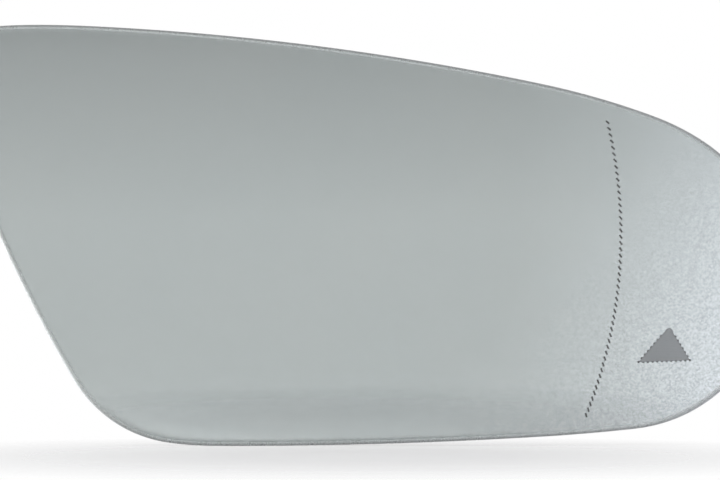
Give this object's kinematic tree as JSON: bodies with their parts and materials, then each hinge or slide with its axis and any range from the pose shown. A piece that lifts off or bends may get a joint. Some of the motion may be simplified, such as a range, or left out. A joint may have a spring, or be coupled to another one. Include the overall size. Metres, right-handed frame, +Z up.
{
  "type": "car door mirror glass",
  "caption": "Frameless convex door mirror glass with a dashed line and a triangular indicator window, bonded to a heater and a ribbed carrier with a snap-in socket.",
  "frame": {"origin": "centre of the adjuster socket's mouth, on the carrier's back", "axes": "+Y out of the back along the socket's axis, so the mirror faces -Y; +X towards the outer end of the glass; +Z up as fitted"},
  "size_m": [0.2086, 0.0217, 0.1053],
  "materials": {
    "clear_glass": "clear float glass, ground edge",
    "reflecting_layer": "vacuum-coated, cool grey reflection",
    "smoked_film": "smoked diffusing film",
    "black_film": "black adhesive film",
    "heater_foil": "amber plastic foil",
    "heater_track": "printed conductor",
    "terminal_brass": "stamped, bright",
    "rivet_brass": "rolled, bright",
    "foam_tape": "acrylic foam tape",
    "carrier_plastic": "moulded, fine spark texture",
    "case_plastic": "moulded, satin",
    "lid_plastic": "moulded, semi-gloss",
    "guide_plastic": "milky clear",
    "board": "solder-masked laminate",
    "lamp": "phosphor-filled resin",
    "board_part": "fired film",
    "pin_metal": "tinned",
    "gasket_foam": "closed-cell foam",
    "screw_steel": "zinc-plated"
  },
  "bodies": {
    "root": {"mirror_glass": "clear_glass", "mirror_coating": "reflecting_layer", "icon_film": "smoked_film", "bonding_film": "black_film", "heater_foil": "heater_foil", "heater_track": "heater_track", "heater_terminal_inner": "terminal_brass", "heater_terminal_outer": "terminal_brass", "terminal_rivets": "rivet_brass", "carrier_tape": "foam_tape", "carrier_plate": "carrier_plastic", "indicator_housing": "case_plastic", "indicator_lid": "lid_plastic", "light_guide": "guide_plastic", "indicator_board": "board", "indicator_leds": "lamp", "board_parts": "board_part", "connector_pins": "pin_metal", "indicator_gasket": "gasket_foam", "indicator_screws": "screw_steel"}
  },
  "joints": []
}
